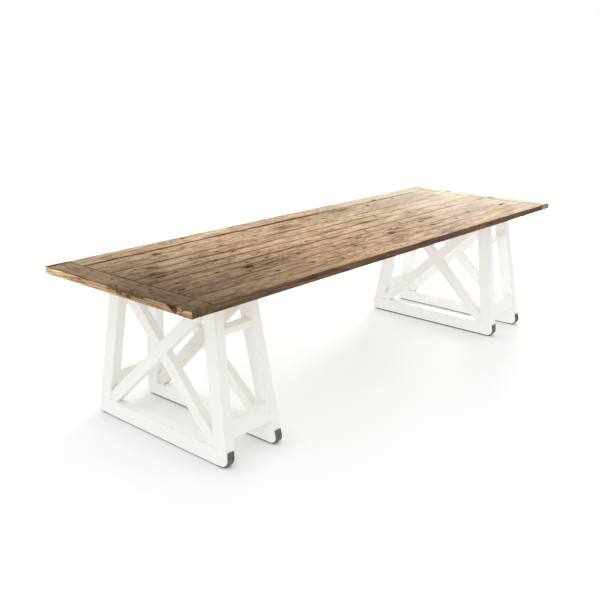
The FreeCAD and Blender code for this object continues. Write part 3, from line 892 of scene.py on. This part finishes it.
def crack_along(bm, path):
    """Sink a crack into the face of a board, and mark it for the finish."""
    layer = bm.verts.layers.float.get("crack") or bm.verts.layers.float.new("crack")
    for vert in bm.verts:
        if is_near_face(vert):
            near = 1.0 - from_path(vert.co, path) / CRACK_HALF_WIDTH
            if near > 0:
                vert[layer] = max(vert[layer], near)
                vert.co.z -= CRACK_DEPTH * near


print("left end worn at", len(WORN_EDGE), "places")

# %% Finishes of the end boards
# Each row is the place across the table, the height, the half length and the half width, in millimetres
RAW_KNOTS = in_metres(
    (-42, 760, 12, 5), (-66, 757, 12, 5), (-112, 756, 14, 6), (300, 752, 7, 3), (20, 763, 16, 4),
    (-15, 766, 12, 4), (-140, 762, 12, 4), (-170, 765, 18, 4), (-205, 767, 12, 3),
)
# How much painted light the raw edge gets, from the front corner to the back: most at the back
RAW_EDGE_LIGHT = ((0.01, (1.12, 1.12, 1.12)), (0.08, (0.945, 0.92, 0.95)), (0.60, (1.13, 1.11, 1.12)),
              (0.90, (1.70, 1.75, 1.80)))

raw_edge = sawn_pine("raw_edge", (0.16, 0.088, 0.038), (0.64, 0.452, 0.255), ON_END, RAW_KNOTS, 2.0)
tree = raw_edge.node_tree
raw_colour = tree.nodes["Principled BSDF"].inputs["Base Color"]
# Painted light: the raw edge is made paler towards the back
shade = colour_ramp(calc("ADD", axis(place_on(tree), "Y"), 0.5), *RAW_EDGE_LIGHT)
wire(mix(1.0, raw_colour.links[0].from_socket, shade, "MULTIPLY"), raw_colour)
fresh_break = sawn_pine("fresh_break", (0.22, 0.130, 0.075), (0.58, 0.38, 0.25), ON_END, board=5.0)
end_grains = {
    "left": sawn_pine("end_grain", (0.050, 0.030, 0.014), (0.20, 0.130, 0.066), CROSSWISE, board=6.0),
    "right": sawn_pine("pale_grain", (0.085, 0.055, 0.030), (0.50, 0.41, 0.255), CROSSWISE, board=9.0),
}
print("raw edge with", len(RAW_KNOTS), "knots")

# %% Shape the end boards
END_TONES = {"left": (0.96, 0.98, 0.97), "right": (0.98, 0.98, 0.97)}
# Each row is the place across the table and, with its sign turned, along it, then the half sizes
END_KNOTS = {
    "left": in_metres((98, 1429, 10, 6), (-3, 1479, 10, 6), (32, 1487, 10, 5),
                      (-163, 1425, 10, 6), (-197, 1444, 12, 6), (-114, 1480, 14, 6)),
    "right": in_metres((215, -1452, 16, 9), (-120, -1440, 20, 10)),
}
OUTER_DIRT = 0.45
JOINT_DIRTS = {"left": (OUTER_DIRT, END_DIRT), "right": (END_DIRT, OUTER_DIRT)}
CORNER_DIRTS = {"left": (3.0, 0.5), "right": (0.5, 0.5)}
END_EVEN = 0.45
FIRST_BOARD = 11.0
END_TALL = 0.02
LOOKS_SIDEWAYS = 0.7
END_GRID = 0.0026
END_GRID_ACROSS = 0.004
EDGE_CUTS = 12
RAW, FRESH, TORN, END = range(3, 7)


def is_outer(edge, outer):
    """Whether an edge lies on the outer side of an end board."""
    return all(abs(vert.co.x - outer) < MERGE_DISTANCE for vert in edge.verts)


for index, (side, tone) in enumerate(END_TONES.items()):
    name, board = f"{side}_end_board", FIRST_BOARD + index
    low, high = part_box(name)
    outer = low.x if side == "left" else high.x
    finish, tree, shader, colour = old_pine(
        f"{name}_face", board, tone, END_KNOTS[side], (), CROSSWISE, END_EVEN)
    dirty_seams(shader, colour,
                seam_dirt(tree, CROSSWISE, -low.x, -high.x, JOINT_DIRTS[side]),
                seam_dirt(tree, FLAT, high.y, low.y, CORNER_DIRTS[side]))
    bm = copy_of(name)
    lower_edge = [edge for edge in bm.edges if is_outer(edge, outer) and edge.calc_length() > LONG_EDGE
                  and all(vert.co.z < low.z + MERGE_DISTANCE for vert in edge.verts)]
    cut_grid(bm, 1, END_GRID, END_GRID_ACROSS, lower_edge)
    uprights = [edge for edge in bm.edges if is_outer(edge, outer)
                and abs(edge.verts[0].co.z - edge.verts[1].co.z) > END_TALL]
    bmesh.ops.subdivide_edges(bm, edges=uprights, cuts=EDGE_CUTS, use_grid_fill=True)
    weather_end_board(bm, board)
    number_faces(bm)
    for face in [face for face in bm.faces if face.material_index == EDGE]:
        if abs(face.calc_center_median().x - outer) < MERGE_DISTANCE:
            face.material_index = RAW
        elif abs(face.normal.y) > LOOKS_SIDEWAYS:
            face.material_index = END
    if side == "left":
        worn = wear_outer_edge(bm, outer)
        for face in bm.faces:
            if face.material_index == RAW and all(vert in worn for vert in face.verts):
                fresh = FRESH_BREAK[0] < face.calc_center_median().y < FRESH_BREAK[1]
                face.material_index = FRESH if fresh else TORN
        crack_along(bm, BREAK_CRACK)
        crack_along(bm, JOINT_CRACK)
    bm.normal_update()
    finishes = (finish, stained_edge, underside_pine, raw_edge, fresh_break, dark_break, end_grains[side])
    new_piece(bm, f"{name}_worn", finishes, name)
    print(name, "with its outer edge at", round(outer, 3))

# %% [markdown]
# ## Battens and screws under the top
# Three battens hold the planks together from below, each with a screw into every plank, and coach
# screws come up through the trestles. They show only from low down, so their shapes stay simple:
# the battens are bevelled copies, and a screw head is a short cone with a sunk recess.

# %% Battens and their screws
ARRIS_ANGLE = math.radians(20)
BATTEN_ROUNDING = 0.002
SCREW_RADIUS = 0.0044
SCREW_TAPER = 0.86
SCREW_RECESS = 0.0022
SCREW_STANDS = 0.0009
SCREW_STAGGER = 0.030
SCREW_MARGIN = 0.030
STEEL_DARK = (0.36, 0.36, 0.37)
STEEL_PALE = (0.62, 0.62, 0.60)


def ending(*ends):
    """The names of the solids that end in one of some ways."""
    return sorted(name for name in nodes if name.endswith(ends))


def is_sharp(edge):
    """Whether two faces meet at an angle."""
    return edge.calc_face_angle(0.0) > ARRIS_ANGLE


def bevel(bm, edges, rounding, segments=2):
    """Round some edges: the faces that this makes."""
    return bmesh.ops.bevel(bm, geom=edges, offset=rounding, affect="EDGES", segments=segments, profile=0.5,
                           material=-1, clamp_overlap=True)["faces"]


steel, tree, shader = new_material("zinc_steel", Metallic=1.0)
dull = even_noise(place_on(tree), 260.0, 4.0)
feed(shader, Base_Color=mix(dull, STEEL_DARK, STEEL_PALE), Roughness=ease(dull, 0.3, 0.7, 0.30, 0.52))

batten_nodes = ending("batten")
screws = bmesh.new()
for name in batten_nodes:
    bm = copy_of(name)
    low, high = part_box(name)
    free = [edge for edge in bm.edges if is_sharp(edge)
            and min(vert.co.z for vert in edge.verts) < high.z - MERGE_DISTANCE]
    bevel(bm, free, BATTEN_ROUNDING)
    new_piece(bm, f"{name}_eased", (batten_pine,), name)
    for index, (back, front) in enumerate(zip(plank_backs, plank_backs[1:])):
        across = min(max((back + front) / 2, low.y + SCREW_MARGIN), high.y - SCREW_MARGIN)
        along = (low.x + high.x) / 2 + SCREW_STAGGER * (1 if index % 2 else -1)
        place = Matrix.Translation((along, across, low.z)) @ Matrix.Rotation(math.pi, 4, "X")
        made = bmesh.ops.create_cone(screws, cap_ends=True, segments=16, radius1=SCREW_RADIUS,
                                     radius2=SCREW_RADIUS * SCREW_TAPER, depth=2 * SCREW_STANDS, matrix=place)
        faces = {face for vert in made["verts"] for face in vert.link_faces}
        cap = min(faces, key=lambda face: face.calc_center_median().z)
        bmesh.ops.inset_region(screws, faces=[cap], thickness=SCREW_RECESS)
        bmesh.ops.translate(screws, verts=cap.verts[:], vec=(0, 0, SCREW_STANDS))
new_piece(screws, "batten_screws", (steel,))
print(len(batten_nodes), "battens with", len(plank_nodes), "screws each")

# %% Coach screws
HEAD_ROUNDING = 0.0006
bm = copy_of("coach_screws")
below_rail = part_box("left_outer_head_rail")[0].z - HEAD_ROUNDING
heads = [edge for edge in bm.edges if is_sharp(edge) and max(vert.co.z for vert in edge.verts) < below_rail]
bevel(bm, heads, HEAD_ROUNDING)
new_piece(bm, "coach_screw_heads", (steel,), "coach_screws")
print(len(heads), "edges of the coach screws' heads rounded")

# %% [markdown]
# ## White paint
# The trestles are painted a matte off-white. The brush and the pine under it leave fine streaks
# along each board, some knots show through as faint yellow spots, and the paint is thin along the
# arrises. The right trestle's paint is made a little lighter, as painted light, and one inner brace
# of the left one is darker and yellower, partly duller paint and partly painted shade inside that
# trestle. The streaks have to follow the board, so the same recipe is turned for uprights, runners, braces
# and rungs.

# %% White paint
PAINT = (0.89, 0.885, 0.87)
PAINT_STREAK = (0.80, 0.79, 0.765)
PAINT_KNOT = (0.70, 0.63, 0.52)
PAINT_THIN = (0.70, 0.645, 0.56)
# Duller paint and painted shade on one inner brace of the left trestle
PAINT_DULL_AND_SHADED = (0.90, 0.885, 0.83)
# Painted light that makes the whole right trestle a little lighter
RIGHT_PAINTED_LIGHT = (1.055, 1.055, 1.06)
PAINT_BUMP = 0.00016

paint_group, given, result = new_group("painted_grain", ("Vector",), ("Streaks", "Knots", "Brush", "Patches"))
squeezed = vector_calc("MULTIPLY", given["Vector"], (3.2, 7.0, 7.0))
cells = put(paint_group, "TexVoronoi", Vector=squeezed, Scale=1.0).outputs["Distance"]
ragged = even_noise(given["Vector"], 60.0, 3.0)
feed(result, Knots=ease(calc("MULTIPLY_ADD", ragged, 0.09, cells), 0.13, 0.075),
     Streaks=streaky_noise(given["Vector"], (3, 90, 90), 4.0, 0.6),
     Brush=streaky_noise(given["Vector"], (10, 700, 700), 2.0, 0.6),
     Patches=even_noise(given["Vector"], 22.0, 4.0))


def white_paint(name, turn, tint=WHITE):
    """Matte white paint on pine whose grain runs the way that the turn gives."""
    material, tree, shader = new_material(name, Specular_IOR_Level=0.35)
    look = use(paint_group, Vector=place_on(tree, turn))
    colour = mix(ease(look["Streaks"], 0.52, 0.30, 0.0, 0.18), PAINT, PAINT_STREAK)
    colour = mix(times(look["Knots"], 0.2), colour, PAINT_KNOT)
    arris = put(tree, "Attribute", {"attribute_name": "arris"}).outputs["Fac"]
    thin = times(arris, ease(look["Patches"], 0.45, 0.65, 0.08, 0.75))
    colour = mix(thin, colour, PAINT_THIN)
    height = calc("MULTIPLY_ADD", look["Brush"], 0.5, look["Streaks"])
    feed(shader, Base_Color=mix(1.0, colour, tint, "MULTIPLY"),
         Roughness=ease(look["Streaks"], 0.3, 0.7, 0.62, 0.48), Normal=bump(height, PAINT_BUMP))
    return material


print("paint group has", len(paint_group.nodes), "nodes")

# %% The paint of each side and direction
BRACE_ANGLE = math.radians(42.6)
PAINT_TURNS = {
    "along": FLAT, "across": CROSSWISE, "upright": (0, QUARTER, 0),
    "rising": (-BRACE_ANGLE, 0, -QUARTER), "falling": (BRACE_ANGLE, 0, -QUARTER),
}
# The right trestle's paint gets painted light
PAINT_TINTS = {"left": WHITE, "right": RIGHT_PAINTED_LIGHT}
paints = {(side, way): white_paint(f"{side}_paint_{way}", turn, tint)
          for side, tint in PAINT_TINTS.items() for way, turn in PAINT_TURNS.items()}
# One inner brace of the left trestle: duller paint and painted shade
dull_shaded_paint = white_paint("dull_shaded_paint", PAINT_TURNS["falling"], PAINT_DULL_AND_SHADED)
# Painted shade: nearly black sawn wood for the runners' soles and the foot of the inner runners
shaded_sole = sawn_pine("shaded_sole", (0.020, 0.015, 0.010), (0.060, 0.044, 0.030), CROSSWISE, board=8.0)
print("white paint in", len(PAINT_TURNS), "directions")

# %% [markdown]
# ## The trestles
# Every board of the trestles has eased arrises. A bevel modifier on the solids would also round the
# hidden shoulders and mortises, so the bevel is cut only where it shows: on the long arrises of a
# straight board, on those of a brace up to the lap where another one crosses it, and on the outline
# of a runner or head rail with its rounded toes. The bevelled faces are marked, so that the paint
# can be thin there. The runners' soles and a narrow rim along the foot of the inner ones are nearly
# black: painted shade for the dark line where they stand on the floor.

# %% Choose the arrises
SHORT_EDGE = 0.10
LAP_REACH = 0.031


def is_arris(edge):
    """Whether an edge is sharp and stands out."""
    return edge.is_convex and is_sharp(edge)


def long_arrises(bm):
    """The long arrises of a straight board."""
    return [edge for edge in bm.edges if is_arris(edge) and edge.calc_length() > SHORT_EDGE]


def outline_arrises(bm):
    """The outlines of a board's two broad sides, without the sole."""
    sides = sorted(bm.faces, key=lambda face: face.calc_area())[-2:]
    sole = min(vert.co.z for vert in bm.verts) + MERGE_DISTANCE
    return [edge for edge in {edge for side in sides for edge in side.edges}
            if is_arris(edge) and max(vert.co.z for vert in edge.verts) > sole]


def cut_across(bm, place, way):
    """Cut edges into a board where a plane goes through it."""
    bmesh.ops.bisect_plane(bm, geom=bm.verts[:] + bm.edges[:] + bm.faces[:], dist=MERGE_DISTANCE,
                           plane_co=place, plane_no=way)


def rises(points, middle):
    """Whether a brace rises towards the back of the table."""
    return sum((point - middle).y * (point - middle).z for point in points) > 0


def brace_arrises(bm):
    """The long arrises of a brace, without the lap where the other one lies flush."""
    points = [vert.co for vert in bm.verts]
    slope = BRACE_ANGLE if rises(points, sum(points, Vector()) / len(points)) else -BRACE_ANGLE
    over = Vector((0, math.cos(slope), math.sin(slope)))
    reaches = sorted(point.dot(over) for point in points)
    centre = over * (reaches[0] + reaches[-1]) / 2
    for side in (-1, 1):
        cut_across(bm, centre + side * LAP_REACH * over, over)
    return [edge for edge in long_arrises(bm)
            if abs((edge.verts[0].co + edge.verts[1].co).dot(over) / 2 - centre.dot(over)) > LAP_REACH]


def round_off(bm, choose, rounding):
    """Bevel the chosen arrises and mark their faces for the paint."""
    layer = bm.faces.layers.float.new("arris")
    for face in bevel(bm, choose(bm), rounding, 3):
        face[layer] = 1.0


print("arrises longer than", SHORT_EDGE, "m are rounded")

# %% Shape the trestles
ROUNDING = 0.0022
# The height up to which the inner runners are nearly black, as painted shade
SHADED_RIM = 0.0070
SOLE_DOWN = -0.9


def paint_for(name):
    """The paint whose streaks run along a board."""
    side = name.split("_")[0]
    if name.endswith(("stretcher", "upper_bar")):
        return paints[side, "along"]
    if name.endswith("stile"):
        return paints[side, "upright"]
    if not name.endswith("brace"):
        return paints[side, "across"]
    low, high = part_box(name)
    if rises([vert.co for vert in nodes[name].data.vertices], (low + high) / 2):
        return paints[side, "rising"]
    # The left trestle's inner falling brace takes duller paint with painted shade
    return dull_shaded_paint if name.startswith("left_inner") else paints[side, "falling"]


trestle_nodes = ending("stile", "brace", "runner", "rail", "stretcher", "bar")
for name in trestle_nodes:
    bm = copy_of(name)
    choose = outline_arrises if name.endswith(("runner", "rail")) else long_arrises
    round_off(bm, brace_arrises if name.endswith("brace") else choose, ROUNDING)
    if name.endswith("inner_runner"):
        cut_across(bm, (0, 0, SHADED_RIM), (0, 0, 1))
    # The soles, and the foot of the inner runners, get the painted shade
    for face in bm.faces:
        low = face.normal.z < SOLE_DOWN or face.calc_center_median().z < SHADED_RIM
        face.material_index = int(low and name.endswith("runner"))
    new_piece(bm, f"{name}_painted", (paint_for(name), shaded_sole), name)
print(len(trestle_nodes), "painted boards")

# %% [markdown]
# ## Rubber strips
# A dark strip under each runner turns up round both toes. It is the copy of its solid with small
# bevels, so that its rim catches a line of light, in a dusty black.

# %% Rubber strips
RUBBER = (0.022, 0.021, 0.020)
RUBBER_DUST = (0.175, 0.163, 0.150)
RUBBER_BUMP = 0.0004
STRIP_ROUNDING = 0.0009

rubber, tree, shader = new_material("rubber", Specular_IOR_Level=0.3)
dust = even_noise(place_on(tree), 90.0, 6.0, 0.7)
off_floor = ease(axis(place_on(tree), "Z"), 0.003, 0.012)
dusty = times(ease(dust, 0.35, 0.65, 0.35, 1.0), off_floor)
feed(shader, Base_Color=mix(dusty, RUBBER, RUBBER_DUST),
     Roughness=ease(dust, 0.3, 0.7, 0.60, 0.85), Normal=bump(dust, RUBBER_BUMP))

strip_nodes = ending("strip")
for name in strip_nodes:
    bm = copy_of(name)
    round_off(bm, outline_arrises, STRIP_ROUNDING)
    new_piece(bm, f"{name}_dusty", (rubber,), name)
print(len(strip_nodes), "rubber strips")
